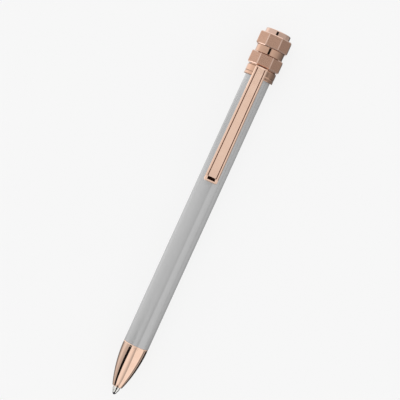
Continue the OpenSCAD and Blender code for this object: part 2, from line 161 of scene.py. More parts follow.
# %% [markdown]
# ## Turning on a lathe
#
# Most of a pen is turned: the nose, barrel, collar, neck and top disc are each one outline spun round
# the axis. A primitive cylinder could be squeezed into shape, but drawing the outline point by point
# and spinning it is what the lathe does, and it puts every small edge radius where the tool left it.


# %% Draw an outline and spin it
WELD = 0.002


def edge_arc(s, r, radius, start, end, steps):
    """Points of an arc in the outline's plane; the angle is counted from outward towards the crown."""
    angles = [radians(start + (end - start) * i / steps) for i in range(steps + 1)]
    return [(s + radius * sin(a), r + radius * cos(a)) for a in angles]


def turn_on_lathe(name, outline, turns=192):
    """A closed outline of (distance, radius) points in mm, spun round the pen's axis and welded."""
    start_clean()
    points = [Vector((along(s), 0, AXIS_Z + r * MM)) for s, r in outline]
    bpy.ops.mesh.primitive_plane_add(size=MM, location=points[0])
    piece = bpy.context.object
    piece.name = name
    bpy.ops.object.mode_set(mode="EDIT")
    bpy.ops.mesh.select_mode(type="VERT")
    bpy.ops.mesh.select_all(action="SELECT")
    bpy.ops.mesh.merge(type="CENTER")
    for here, there in zip(points, points[1:] + points[:1]):
        bpy.ops.mesh.extrude_vertices_move(TRANSFORM_OT_translate={"value": there - here})
    bpy.ops.mesh.select_all(action="SELECT")
    bpy.ops.mesh.spin(steps=turns, angle=2 * pi, center=(0, 0, AXIS_Z), axis=(1, 0, 0))
    bpy.ops.mesh.select_all(action="SELECT")
    bpy.ops.mesh.remove_doubles(threshold=WELD * MM)
    turn_faces_outwards()
    return piece


# %% [markdown]
# ## Colours and one node helper
#
# Screen colours are written as sRGB hex values, but Blender mixes light in linear numbers. One function
# converts them. One small function adds a shader node, sets it and links it, so each finish below reads
# like a recipe.


# %% Linear colours, and a helper that adds a node
def linear(hex_colour):
    """An sRGB hex value as a linear colour with alpha."""
    channels = [int(hex_colour[i:i + 2], 16) / 255 for i in (1, 3, 5)]
    return [c / 12.92 if c <= 0.04045 else ((c + 0.055) / 1.055) ** 2.4 for c in channels] + [1.0]


def add_node(tree, kind, inputs=None, **settings):
    """A node with its settings; each input is a value, or another node's output to link."""
    node = tree.nodes.new("ShaderNode" + kind)
    for name, value in settings.items():
        setattr(node, name, value)
    for socket, value in (inputs or {}).items():
        if isinstance(value, bpy.types.NodeSocket):
            tree.links.new(value, node.inputs[socket])
        else:
            node.inputs[socket].default_value = value
    return node


def start_finish(name):
    """A new material with an empty tree, and the piece's object coordinates turned to millimetres."""
    material = bpy.data.materials.new(name)
    material.use_nodes = True
    tree = material.node_tree
    tree.nodes.clear()
    coordinates = add_node(tree, "TexCoord")
    in_mm = add_node(tree, "VectorMath", {0: coordinates.outputs["Object"], 3: 1 / MM}, operation="SCALE")
    return material, tree, in_mm.outputs[0]


def end_finish(tree, shader):
    """Joins the finished shader to the material's output."""
    output = add_node(tree, "OutputMaterial")
    tree.links.new(shader.outputs["BSDF"], output.inputs["Surface"])


# %% [markdown]
# ## Metals
#
# A metal's colour is the colour of its mirror image, so it goes into Base Color with Metallic at one,
# and the default IOR is kept. What sets a polished clip apart from a brushed nut is how its surface was
# worked: polishing leaves faint haze in patches, and turning or brushing leaves fine rings. Both are
# noise, stretched to the size of the real marks, that moves the roughness and tilts the surface a little.


# %% A metal with worked marks
def worked_metal(name, colour, shade, roughness, rings, haze, depth, tarnish=0.35):
    """Roughness is (least, most); rings, haze and depth are the marks' width, patches and height in mm."""
    material, tree, place = start_finish(name)
    across_marks = add_node(tree, "Mapping", {"Vector": place, "Scale": (1 / rings, 0.12, 0.12)})
    marks = add_node(tree, "TexNoise", {
        "Vector": across_marks.outputs[0], "Scale": 1.0, "Detail": 3.0, "Roughness": 0.55})
    patches = add_node(tree, "TexNoise", {
        "Vector": place, "Scale": 1 / haze, "Detail": 4.0, "Roughness": 0.6})
    both = add_node(tree, "Mix", {0: 0.5, 2: marks.outputs[0], 3: patches.outputs[0]}, data_type="FLOAT")
    rough = add_node(tree, "MapRange", {
        "Value": both.outputs[0], "From Min": 0.3, "From Max": 0.7,
        "To Min": roughness[0], "To Max": roughness[1]})
    amount = add_node(tree, "MapRange", {
        "Value": patches.outputs[0], "From Min": 0.35, "From Max": 0.75, "To Min": 0.0, "To Max": tarnish})
    tint = add_node(tree, "Mix", {
        0: amount.outputs[0], 6: linear(colour), 7: linear(shade)}, data_type="RGBA")
    bump = add_node(tree, "Bump", {"Height": marks.outputs[0], "Strength": 1.0, "Distance": depth * MM})
    shader = add_node(tree, "BsdfPrincipled", {
        "Base Color": tint.outputs[2], "Metallic": 1.0,
        "Roughness": rough.outputs[0], "Normal": bump.outputs[0]})
    end_finish(tree, shader)
    print(f"{name}: marks {rings} mm wide, roughness {roughness[0]} to {roughness[1]}")
    return material


# Rose-gold plate, buffed with a soft wheel: a clear mirror with a warm pink tint and a breath of haze
polished_rose_gold = worked_metal(
    "polished_rose_gold_plate", "#f9d6c0", "#efc4ab", (0.045, 0.085), 0.5, 3.0, 0.00006)
# The same plate over fine brushing: the mirror is spread sideways into a soft, darker sheen
satin_rose_gold = worked_metal(
    "satin_brushed_rose_gold_plate", "#c29c87", "#b8907b", (0.17, 0.26), 0.35, 2.5, 0.0002)
# Plate cut with a diamond tool: a hard mirror on the disc and along the nuts' edges
cut_rose_gold = worked_metal(
    "diamond_cut_rose_gold_plate", "#cfb0a0", "#c8a693", (0.015, 0.03), 0.5, 3.0, 0.00002)
# The collar and the waist between the nuts are turned as bright, and a little darker
turned_rose_gold = worked_metal(
    "turned_rose_gold_plate", "#c7a28c", "#bd9680", (0.015, 0.03), 0.5, 3.0, 0.00002)
# The bottom of the clip's grooves, which no polishing wheel reaches: matt, and painted dark brown as the
# shade that falls in them
groove_painted_shade = worked_metal(
    "unpolished_rose_gold_painted_shade", "#7d4a34", "#693a28", (0.45, 0.6), 0.3, 1.0, 0.001)
# The deep gap at the panel's end is painted near black as its shadow, so that the panel seems to float
gap_painted_shadow = worked_metal("gap_painted_shadow", "#26140d", "#1c0f0a", (0.5, 0.65), 0.3, 1.0, 0.001)
# Free-cutting brass as it comes off the lathe: warm yellow, with fine rings that spread its shine
turned_brass = worked_metal("turned_brass", "#e3c578", "#cfa858", (0.2, 0.32), 0.3, 2.0, 0.0008)
# Stainless steel bar, turned and milled: a cool grey whose shine is broken up by the tool's marks
machined_steel = worked_metal("machined_stainless_steel", "#c6c6c4", "#a9a9a8", (0.2, 0.34), 0.3, 2.0, 0.0008)
# Nickel plate on a drawn brass tube: bright, slightly yellow
nickel_plate = worked_metal("bright_nickel_plate", "#f2f1ec", "#e6e4de", (0.008, 0.016), 0.5, 3.0, 0.00001)
# The tip's rolled lip, where wet ink has crept back over the nickel: dark, with a wet shine
inked_lip = worked_metal("ink_wetted_nickel", "#3b3b3e", "#2c2c30", (0.1, 0.2), 0.2, 0.5, 0.00005)
# Spring wire keeps the long marks of the die that it was drawn through, and glints softly along them
spring_steel = worked_metal("drawn_spring_wire", "#b9babb", "#9a9b9d", (0.22, 0.36), 0.2, 1.0, 0.0004)
# A lapped tungsten carbide ball, dark and wet with ink
carbide = worked_metal("lapped_tungsten_carbide", "#4a4a50", "#26262c", (0.12, 0.22), 0.1, 0.4, 0.00004)

# %% [markdown]
# ## Lacquer, plastic, rubber and ink
#
# The barrel is a drawn metal tube under a satin metallic lacquer. Light spreads on it softly with a low
# shine, and under a lens it shows a faint orange peel and tiny flakes. Plastics and rubber are not
# metals: their colour is in the body, with a colourless shine on top that depends on how smooth the
# mould was.


# %% A coating or a moulded body
def coated_body(name, colour, shade, roughness, grain, depth, metallic=0.0, ior=1.5):
    """Grain is the size in mm of the surface's texture, and depth its height in mm."""
    material, tree, place = start_finish(name)
    texture = add_node(tree, "TexNoise", {
        "Vector": place, "Scale": 1 / grain, "Detail": 3.0, "Roughness": 0.5})
    broad = add_node(tree, "TexNoise", {"Vector": place, "Scale": 0.12 / grain, "Detail": 2.0})
    tint = add_node(tree, "Mix", {
        0: broad.outputs[0], 6: linear(colour), 7: linear(shade)}, data_type="RGBA")
    rough = add_node(tree, "MapRange", {
        "Value": texture.outputs[0], "From Min": 0.3, "From Max": 0.7,
        "To Min": roughness[0], "To Max": roughness[1]})
    bump = add_node(tree, "Bump", {"Height": texture.outputs[0], "Strength": 1.0, "Distance": depth * MM})
    shader = add_node(tree, "BsdfPrincipled", {
        "Base Color": tint.outputs[2], "Metallic": metallic, "IOR": ior,
        "Roughness": rough.outputs[0], "Normal": bump.outputs[0]})
    end_finish(tree, shader)
    print(f"{name}: grain {grain} mm, roughness {roughness[0]} to {roughness[1]}")
    return material


# Satin silver-grey lacquer with fine flakes; the grain is drawn at 0.4 mm so that it shows at all
grey_lacquer = coated_body(
    "satin_metallic_lacquer", "#c3c3c3", "#bfbfbf", (0.14, 0.19), 0.4, 0.00006, metallic=0.6, ior=1.5)
# Natural acetal: milky white, slightly waxy
acetal = coated_body("moulded_acetal", "#e8e6df", "#dedbd2", (0.35, 0.5), 0.8, 0.002, ior=1.48)
# Nitrile rubber ring: dull black
nitrile_rubber = coated_body(
    "moulded_nitrile_rubber", "#1d1d1f", "#252527", (0.6, 0.75), 0.3, 0.004, ior=1.52)
# Ballpoint ink is a thick blue-black paste, glossy where it is wet
ink = coated_body("wet_ink_paste", "#0b1430", "#101a3c", (0.05, 0.12), 1.0, 0.0005, ior=1.45)

# %% [markdown]
# ## The nose
#
# The polished nose is a long ogive: one large arc that leaves the barrel without a corner and ends in a
# rounded lip round the writing tip. A polished surface shows every flat facet in its reflections, so the
# arc gets many short steps. Behind the joint a plain spigot goes on into the barrel, and the bores are
# drawn too, so that the piece is a real shell.

# %% Turn the nose
nose_low, nose_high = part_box("nose_cone")
MOUTH = distance(nose_low.x)
SPIGOT_END = distance(nose_high.x)
MOUTH_R, SPIGOT_R = 1.81, 3.66
MOUTH_BORE, SPRING_BORE, REFILL_BORE = 1.25, 2.35, 3.15
SPRING_BORE_START, REFILL_BORE_START = 7.0, 14.5
LIP, LIP_INNER_EASE = 0.3, 0.08
EASE = 0.07
SPIGOT_CHAMFER = 0.3

ogive_drop = BARREL_R - MOUTH_R
ogive_r = ((JOINT - MOUTH) ** 2 + ogive_drop ** 2) / (2 * ogive_drop)
lip_angle = degrees(asin((JOINT - MOUTH - LIP) / (ogive_r - LIP)))
lip_centre_r = BARREL_R - ogive_r + (ogive_r - LIP) * cos(radians(lip_angle))
ogive_end = -degrees(EASE / ogive_r)
nose_outline = (
    [(MOUTH + LIP_INNER_EASE, MOUTH_BORE), (MOUTH, MOUTH_BORE + LIP_INNER_EASE)]
    + edge_arc(MOUTH + LIP, lip_centre_r, LIP, -90, -lip_angle, 10)
    + edge_arc(JOINT, BARREL_R - ogive_r, ogive_r, -lip_angle, ogive_end, 72)[1:]
    + edge_arc(JOINT - EASE, BARREL_R - EASE, EASE, 0, 90, 4)[1:]
    + [(JOINT, SPIGOT_R), (SPIGOT_END - SPIGOT_CHAMFER, SPIGOT_R)]
    + [(SPIGOT_END, SPIGOT_R - SPIGOT_CHAMFER)]
    + [(SPIGOT_END, REFILL_BORE), (REFILL_BORE_START, REFILL_BORE), (REFILL_BORE_START, SPRING_BORE)]
    + [(SPRING_BORE_START, SPRING_BORE), (SPRING_BORE_START, MOUTH_BORE)]
)
nose = turn_on_lathe("nose_shell", nose_outline, turns=256)
finish_piece(nose, "barrel", "nose_cone", polished_rose_gold)
print(f"Ogive radius {ogive_r:.1f} mm")

# %% [markdown]
# ## The barrel
#
# The barrel is a straight lacquered tube. What makes it read as a real part are its ends: the tube's
# edge is rolled over by less than a tenth of a millimetre, which draws the thin parting line against the
# nose. Its far end is hidden in the collar.

# %% Turn the barrel
BARREL_END = distance(barrel_high.x)
BARREL_BORE, REAR_CHAMFER = 4.10, 0.1
barrel_outline = (
    [(JOINT, BARREL_BORE)]
    + edge_arc(JOINT + EASE, BARREL_R - EASE, EASE, -90, 0, 4)
    + [(BARREL_END - REAR_CHAMFER, BARREL_R), (BARREL_END, BARREL_R - REAR_CHAMFER)]
    + [(BARREL_END, BARREL_BORE)]
)
barrel = turn_on_lathe("barrel_shell", barrel_outline)
finish_piece(barrel, "barrel", "barrel_tube", grey_lacquer)

# %% [markdown]
# ## The collar
#
# A short cup closes the barrel. It has a shallow decorative groove, a small radius at the front and a
# larger one at the back, where a low lip closes the seam below the crown so that no light shows through
# it. Inside, its plate and seat hold the clip's ring. The clip's leg stands in a slot in its wall, which is
# cut after turning, as a mill would, with a Boolean modifier.

# %% Turn the collar and mill its slot
collar_low, collar_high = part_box("collar")
COLLAR = distance(collar_low.x)
COLLAR_END = distance(collar_high.x)
COLLAR_R = (collar_high.y - collar_low.y) / 2 / MM
FRONT_EDGE, REAR_EDGE = 0.25, 0.5
GROOVE, GROOVE_R, GROOVE_LIFT = 1.2, 0.3, 0.2
PLATE_FRONT, SEAT, SEAT_R = 122.6, 123.1, 4.65
BOSS_BORE, BARREL_SEAT_R = 3.32, 4.57
SLOT_LENGTH, SLOT_WIDTH, CUTTER_HEIGHT = 2, 3.1, 5
SEAM_LIP_WIDTH, SEAM_LIP_GAP = 0.15, 0.02
SEAM_LIP_END = distance(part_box("lower_nut")[0].x) - SEAM_LIP_GAP
GROOVE_SWING = degrees(acos(GROOVE_LIFT / GROOVE_R))
GROOVE_HALF = GROOVE_R * sin(radians(GROOVE_SWING))
# A second ring of points this close to a rounded edge keeps the smooth shading off the straight part
SUPPORT = 0.03
collar_outline = (
    [(COLLAR, BARREL_SEAT_R)]
    + edge_arc(COLLAR + FRONT_EDGE, COLLAR_R - FRONT_EDGE, FRONT_EDGE, -90, 0, 8)
    + [(COLLAR + FRONT_EDGE + SUPPORT, COLLAR_R), (COLLAR + GROOVE - GROOVE_HALF - SUPPORT, COLLAR_R)]
    + edge_arc(COLLAR + GROOVE, COLLAR_R + GROOVE_LIFT, GROOVE_R, 180 + GROOVE_SWING, 180 - GROOVE_SWING, 8)
    + [(COLLAR + GROOVE + GROOVE_HALF + SUPPORT, COLLAR_R), (COLLAR_END - REAR_EDGE - SUPPORT, COLLAR_R)]
    + edge_arc(COLLAR_END - REAR_EDGE, COLLAR_R - REAR_EDGE, REAR_EDGE, 0, 90, 10)
    + [(COLLAR_END, SEAT_R + SEAM_LIP_WIDTH), (SEAM_LIP_END, SEAT_R + SEAM_LIP_WIDTH)]
    + [(SEAM_LIP_END, SEAT_R), (SEAT, SEAT_R), (SEAT, BOSS_BORE), (PLATE_FRONT, BOSS_BORE)]
    + [(PLATE_FRONT, BARREL_SEAT_R)]
)
collar = turn_on_lathe("collar_ring", collar_outline)

start_clean()
bpy.ops.mesh.primitive_cube_add(
    size=1, location=(along(SEAT + SLOT_LENGTH / 2), 0, AXIS_Z + COLLAR_R * MM))
cutter = bpy.context.object
cutter.scale = (SLOT_LENGTH * MM, SLOT_WIDTH * MM, CUTTER_HEIGHT * MM)
apply_modifier(collar, "BOOLEAN", object=cutter, operation="DIFFERENCE", solver="EXACT")
bpy.data.objects.remove(cutter)
finish_piece(collar, "barrel", "collar", turned_rose_gold)

# %% [markdown]
# ## The nuts
#
# The crown is made of two eight-sided nuts. Each starts as an eight-sided cylinder with one flat facing
# up. The long edges get a narrow chamfer and the edges round both ends a wider one, which give the bright
# outlines of the real nuts, and a last, tiny bevel softens where those chamfers meet the faces. The bore
# is opened by insetting both ends and bridging the two holes. The flats are brushed, while the chamfers
# were cut last and shine, so they take a second finish.

# %% Shape a nut
SIDES = 8
CHAMFER, LONG_CHAMFER, CHAMFER_EASE = 0.33, 0.22, 0.03
NUT_BORE, BORE_ZONE = 2.3, 3.0


def make_nut(name, cad_node):
    """An eight-sided nut the size of its CAD node, chamfered, eased and bored."""
    low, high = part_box(cad_node)
    flat_to_flat = high.y - low.y
    start_clean()
    bpy.ops.mesh.primitive_cylinder_add(
        vertices=SIDES, radius=flat_to_flat / 2 / cos(pi / SIDES), depth=high.x - low.x, end_fill_type="NGON",
        location=((low.x + high.x) / 2, 0, AXIS_Z), rotation=(0, pi / 2, 0))
    piece = bpy.context.object
    piece.name = name
    bpy.ops.object.transform_apply(location=True, rotation=True, scale=True)
    to_axis = Matrix.Translation((0, 0, AXIS_Z))
    half_side = Matrix.Rotation(pi / SIDES, 4, "X")
    piece.data.transform(to_axis @ half_side @ to_axis.inverted())
    # Only the edges round both ends turn by more than 60 degrees
    apply_modifier(
        piece, "BEVEL", width=CHAMFER * MM, segments=1, limit_method="ANGLE", angle_limit=radians(60))
    # The edges that run along the pen are picked out by their direction
    bpy.ops.object.mode_set(mode="EDIT")
    bpy.ops.mesh.select_mode(type="EDGE")
    bpy.ops.mesh.select_all(action="DESELECT")
    bpy.ops.object.mode_set(mode="OBJECT")
    corners = piece.data.vertices
    for edge in piece.data.edges:
        run = corners[edge.vertices[0]].co - corners[edge.vertices[1]].co
        edge.select = abs(run.x) > 0.9 * run.length
    bpy.ops.object.mode_set(mode="EDIT")
    bpy.ops.mesh.bevel(offset=LONG_CHAMFER * MM, segments=1)
    bpy.ops.object.mode_set(mode="OBJECT")
    # Every corner that is left is softened
    apply_modifier(
        piece, "BEVEL", width=CHAMFER_EASE * MM, segments=2, limit_method="ANGLE", angle_limit=radians(15))
    # Both flat ends are inset to the bore, opened, and joined by the bore's wall
    select_only(piece)
    bpy.ops.object.mode_set(mode="EDIT")
    bpy.ops.mesh.select_all(action="DESELECT")
    bpy.ops.object.mode_set(mode="OBJECT")
    for face in piece.data.polygons:
        face.select = abs(face.normal.x) > 0.999
    bpy.ops.object.mode_set(mode="EDIT")
    bpy.ops.mesh.select_mode(type="FACE")
    ring_width = flat_to_flat / 2 - (CHAMFER + CHAMFER_EASE + NUT_BORE) * MM
    bpy.ops.mesh.inset(thickness=ring_width, use_even_offset=True)
    bpy.ops.mesh.delete(type="ONLY_FACE")
    bpy.ops.mesh.select_mode(type="EDGE")
    bpy.ops.mesh.select_non_manifold(extend=False)
    bpy.ops.mesh.bridge_edge_loops()
    turn_faces_outwards()
    return piece


def is_chamfer(face, flat_area):
    """A nut's narrow faces, apart from its ends and its bore."""
    in_end = abs(face.normal.x) > 0.95
    in_bore = hypot(face.center.y, face.center.z - AXIS_Z) < BORE_ZONE * MM
    return face.area < flat_area / 2 and not in_end and not in_bore


# %% Make both nuts and give their chamfers the bright finish
for nut_name, cad_node in (("lower_nut_body", "lower_nut"), ("upper_nut_body", "upper_nut")):
    nut = make_nut(nut_name, cad_node)
    finish_piece(nut, "crown", cad_node, satin_rose_gold, crease=17)
    flat_area = max(face.area for face in nut.data.polygons)
    paint_faces(nut, cut_rose_gold, lambda face: is_chamfer(face, flat_area))

# %% [markdown]
# ## The neck and the top disc
#
# Between the nuts is a round waist whose ends are eased, and on top sits a disc with a small rounded
# edge. The disc's shank runs down inside the crown, as a screw that clamps the stack. Both are turned
# bright: the photograph shows one hard black line along each, where a dark card is mirrored.

# %% Turn the neck and the disc
neck_low, neck_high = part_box("neck_sleeve")
NECK, NECK_END = distance(neck_low.x), distance(neck_high.x)
NECK_R, NECK_EDGE, NECK_BORE = (neck_high.y - neck_low.y) / 2 / MM, 0.12, 2.27
neck_outline = (
    [(NECK, NECK_BORE)]
    + edge_arc(NECK + NECK_EDGE, NECK_R - NECK_EDGE, NECK_EDGE, -90, 0, 6)
    + [(NECK + NECK_EDGE + SUPPORT, NECK_R), (NECK_END - NECK_EDGE - SUPPORT, NECK_R)]
    + edge_arc(NECK_END - NECK_EDGE, NECK_R - NECK_EDGE, NECK_EDGE, 0, 90, 6)
    + [(NECK_END, NECK_BORE)]
)
neck = turn_on_lathe("neck_waist", neck_outline)
finish_piece(neck, "crown", "neck_sleeve", turned_rose_gold)

disc_low, disc_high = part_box("finial_screw")
DISC_TOP = distance(disc_high.x)
DISC = distance(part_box("upper_nut")[1].x)
DISC_R = (disc_high.y - disc_low.y) / 2 / MM
SHANK_END, SHANK_R = distance(disc_low.x), 1.5
DISC_EDGE, DISC_CHAMFER = 0.35, 0.1
# The outline stops just short of the axis, where its points would pile up on each other
CORE_R = 0.02
disc_outline = (
    [(DISC_TOP, CORE_R), (SHANK_END, CORE_R), (SHANK_END, SHANK_R), (DISC, SHANK_R)]
    + [(DISC, DISC_R - DISC_CHAMFER), (DISC + DISC_CHAMFER, DISC_R)]
    + [(DISC + DISC_CHAMFER + SUPPORT, DISC_R)]
    + [(DISC_TOP - DISC_EDGE - SUPPORT, DISC_R)]
    + edge_arc(DISC_TOP - DISC_EDGE, DISC_R - DISC_EDGE, DISC_EDGE, 0, 90, 14)
)
disc = turn_on_lathe("top_disc", disc_outline)
finish_piece(disc, "crown", "finial_screw", cut_rose_gold)

# %% [markdown]
# ## The clip
#
# The clip is a folded and stamped strip with a raised rim round a long panel. The CAD solids already
# have its exact shape, so each is copied and its loose triangles are merged back into clean faces. A
# small bevel then rounds every pressed edge, because no stamped edge is knife sharp and that thin bright
# line is what the eye looks for. Mirror-bright metal at the bottom of a groove would look as bright as its
# top, so the grooves get a duller finish painted dark brown as shade, and the gap at the free end is
# painted black as shadow.

# %% Copy a CAD solid and ease its edges
CAD_WELD = 0.001


def ease_edges(name, cad_node, width, segments):
    """A copy of a CAD node with merged faces and rounded edges, width in millimetres."""
    start_clean()
    piece = nodes[cad_node].copy()
    piece.data = nodes[cad_node].data.copy()
    # The copy is a new piece, so it drops the labels of the frame's own node
    for key in list(piece.keys()):
        del piece[key]
    piece.parent = None
    piece.name = name
    bpy.context.scene.collection.objects.link(piece)
    select_only(piece)
    bpy.ops.object.mode_set(mode="EDIT")
    bpy.ops.mesh.select_all(action="SELECT")
    bpy.ops.mesh.remove_doubles(threshold=CAD_WELD * MM)
    bpy.ops.mesh.dissolve_limited(angle_limit=radians(1.5))
    bpy.ops.object.mode_set(mode="OBJECT")
    if piece.data.has_custom_normals:
        bpy.ops.mesh.customdata_custom_splitnormals_clear()
    apply_modifier(
        piece, "BEVEL", width=width * MM, segments=segments, limit_method="ANGLE", angle_limit=radians(25))
    return piece


# %% Ease the strip and the panel, and cut the strip's floor along the edges of the gap's painted shadow
CLIP_EASE, PANEL_EASE = 0.05, 0.04
# Half the width of the painted shadow in the end gap, in millimetres
BLACK_HALF = 1.38
clip = ease_edges("clip_strip", "clip_arm", CLIP_EASE, 2)
clip_low, clip_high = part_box("clip_arm")
panel_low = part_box("clip_inlay")[0]
cuts = [
    ((panel_low.x, 0, AXIS_Z), (1, 0, 0)),
    ((0, -BLACK_HALF * MM, AXIS_Z), (0, 1, 0)),
    ((0, BLACK_HALF * MM, AXIS_Z), (0, 1, 0)),
]
bpy.ops.object.mode_set(mode="EDIT")
for point, direction in cuts:
    bpy.ops.mesh.select_all(action="SELECT")
    bpy.ops.mesh.bisect(plane_co=point, plane_no=direction)
bpy.ops.object.mode_set(mode="OBJECT")
finish_piece(clip, "clip", "clip_arm", polished_rose_gold, crease=50)
panel = ease_edges("clip_panel", "clip_inlay", PANEL_EASE, 2)
finish_piece(panel, "clip", "clip_inlay", polished_rose_gold, crease=50)

# %% Paint shade into the grooves and shadow into the gap
RIM, RIM_EASE = 0.68, 0.03
PANEL_T, FLOOR_MARGIN = 0.3, 0.05
INSIDE_RIM = (clip_high.y - clip_low.y) / 2 - RIM * MM
BELOW_TOP = clip_high.z - RIM_EASE * MM
CLIP_FLOOR = clip_high.z - (PANEL_T + FLOOR_MARGIN) * MM


def in_recess(face):
    """Faces of the strip's sunk floor and the walls round it, where it lies over the barrel."""
    centre = face.center
    sunk = abs(centre.y) < INSIDE_RIM and CLIP_FLOOR < centre.z < BELOW_TOP
    return sunk and face.normal.z > -0.1 and centre.x > clip_low.x + RIM * MM / 2


def in_end_gap(face):
    """Faces of the recess beyond the panel's end, between its grooves."""
    return in_recess(face) and face.center.x < panel_low.x and abs(face.center.y) < BLACK_HALF * MM


# The grooves round the panel are painted dark brown as shade
paint_faces(clip, groove_painted_shade, lambda face: in_recess(face) and face.center.x > panel_low.x)
# The gap beyond the panel's end is painted near black as shadow
paint_faces(clip, gap_painted_shadow, in_end_gap)
# The panel's side walls take the same painted shade
paint_faces(panel, groove_painted_shade, lambda face: abs(face.normal.y) > 0.9)
# The panel's end face takes the same painted shadow
paint_faces(panel, gap_painted_shadow, lambda face: face.normal.x < -0.9)

# %% [markdown]
# ## The writing tip and the return spring
#
# The refill's tip is a tiny turned cone whose lip is rolled over the ball. The return spring is a helix of
# round wire round the refill's front. A real spring stretches, but this one keeps one length, as the CAD
# solid does, and is attached to neither body. A circle and a Screw modifier wind it.

# %% Turn the tip
BALL_CENTRE, BALL_SEAT_R, DUCT_R = 0.5, 0.52, 0.3
ROLL_START, ROLL_START_R, ROLL_END, ROLL_END_R = 0.3, 0.53, 0.36, 0.57
CONE_START, CONE_START_R, CONE_END = 0.41, 0.59, 1.85
TIP_R, TIP_END = 1.2, 4.6
TIP_SHANK_R, TIP_SHANK_END, TIP_CHAMFER = 0.85, 7.5, 0.05
CORNER_FRONT, CORNER_REAR, CORNER_DROP, CORNER_RUN = 0.05, 0.03, 0.02, 0.04
INK_CREEP = 0.8
CONE_SLOPE = (TIP_R - CONE_START_R) / (CONE_END - CONE_START)
seat_front = -degrees(asin((BALL_CENTRE - ROLL_START) / BALL_SEAT_R))
seat_back = 90 - degrees(asin(DUCT_R / BALL_SEAT_R))
tip_outline = (
    edge_arc(BALL_CENTRE, 0, BALL_SEAT_R, seat_back, seat_front, 10)
    # The rolled lip, and the cone up to where the ink has crept
    + [(ROLL_START, ROLL_START_R), (ROLL_END, ROLL_END_R)]
    + [(INK_CREEP, ROLL_END_R + CONE_SLOPE * (INK_CREEP - ROLL_END))]
    # Two points on either side of the cone's end, which round its corner
    + [(CONE_END - CORNER_FRONT - CORNER_RUN, TIP_R - CORNER_DROP - CORNER_RUN * CONE_SLOPE)]
    + [(CONE_END - CORNER_FRONT, TIP_R - CORNER_DROP)]
    + [(CONE_END + CORNER_REAR, TIP_R), (CONE_END + CORNER_REAR + CORNER_RUN, TIP_R)]
    # The straight part, and the shank that the nozzle grips
    + [(TIP_END - TIP_CHAMFER, TIP_R), (TIP_END, TIP_R - TIP_CHAMFER), (TIP_END, TIP_SHANK_R)]
    + [(TIP_SHANK_END, TIP_SHANK_R), (TIP_SHANK_END, DUCT_R)]
)
tip = turn_on_lathe("refill_point", tip_outline, turns=96)
finish_piece(tip, "refill", "refill_tip", nickel_plate)
paint_faces(tip, inked_lip, lambda face: face.center.x < along(INK_CREEP))

# %% Wind the spring
SPRING_FRONT, SPRING_REAR = 7.02, 15.98
WIRE_R, COIL_R, COILS = 0.2, 1.975, 7
WIRE_SIDES, STEPS_PER_TURN = 16, 32
start_clean()
bpy.ops.mesh.primitive_circle_add(
    vertices=WIRE_SIDES, radius=WIRE_R * MM, fill_type="NOTHING", rotation=(pi / 2, 0, 0),
    location=(along(SPRING_FRONT + WIRE_R), 0, AXIS_Z + COIL_R * MM))
spring = bpy.context.object
spring.name = "spring_coil"
bpy.context.scene.cursor.location = (0, 0, AXIS_Z)
bpy.ops.object.transform_apply(location=True, rotation=True, scale=True)
bpy.ops.object.origin_set(type="ORIGIN_CURSOR")
apply_modifier(
    spring, "SCREW", axis="X", angle=2 * pi * COILS,
    steps=STEPS_PER_TURN * COILS, render_steps=STEPS_PER_TURN * COILS,
    screw_offset=(SPRING_REAR - SPRING_FRONT - 2 * WIRE_R) * MM, use_merge_vertices=True)
bpy.ops.object.mode_set(mode="EDIT")
bpy.ops.mesh.select_all(action="DESELECT")
bpy.ops.mesh.select_mode(type="EDGE")
bpy.ops.mesh.select_non_manifold()
bpy.ops.mesh.edge_face_add()
turn_faces_outwards()
finish_piece(spring, None, "return_spring", spring_steel)
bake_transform(spring)

# %% [markdown]
# ## The pieces that stay as the CAD drew them
#
# The mechanism is hidden inside, and its solids are already exact. They keep their shapes and get the
# finish of what they are really made of.

# %% Give the CAD pieces their finishes
INNER_FINISHES = {
    "nose_bushing": turned_brass, "mechanism_housing": turned_brass, "thrust_washer": turned_brass,
    "clip_nut": machined_steel, "crown_spindle": machined_steel, "cam_sleeve": machined_steel,
    "follower_pin": machined_steel, "clip_ring": polished_rose_gold, "friction_ring": nitrile_rubber,
    "plunger": acetal, "refill_plug": acetal, "refill_nozzle": acetal,
    "refill_tube": nickel_plate, "ink_column": ink, "writing_ball": carbide,
}
for cad_node, finish in INNER_FINISHES.items():
    for material_slot in nodes[cad_node].material_slots:
        material_slot.material = finish
print(f"{len(INNER_FINISHES)} CAD pieces keep their shapes")

# %% [markdown]
# ## Floor
#
# A plain pale floor carries the pen. The photograph shows hardly any shadow, as on a product table lit
# from below, so most of this floor's brightness is a glow of its own and the rest is light that falls on
# it. It is left out of the mirror reflections, where the tent round the pen takes over.

# %% Lay the floor
FLOOR_SIZE, FLOOR_DROP, DUST_PATCH, GLOW = 6, 0.02, 50, 0.823
start_clean()
bpy.ops.mesh.primitive_plane_add(size=FLOOR_SIZE, location=(0, 0, -FLOOR_DROP * MM))
floor = bpy.context.object
floor.name = "floor"
floor_finish, tree, place = start_finish("matt_white_table")
dust = add_node(tree, "TexNoise", {"Vector": place, "Scale": 1 / DUST_PATCH, "Detail": 2.0})
pale = add_node(tree, "Mix", {
    0: dust.outputs[0], 6: linear("#5f5f5f"), 7: linear("#626262")}, data_type="RGBA")
glow = add_node(tree, "BsdfPrincipled", {
    "Base Color": pale.outputs[2], "Roughness": 0.9, "Emission Color": linear("#ffffff"),
    "Emission Strength": GLOW})
end_finish(tree, glow)
floor.data.materials.append(floor_finish)
floor.visible_glossy = False
print(f"Floor {FLOOR_SIZE} m wide, {FLOOR_DROP} mm below the nuts")

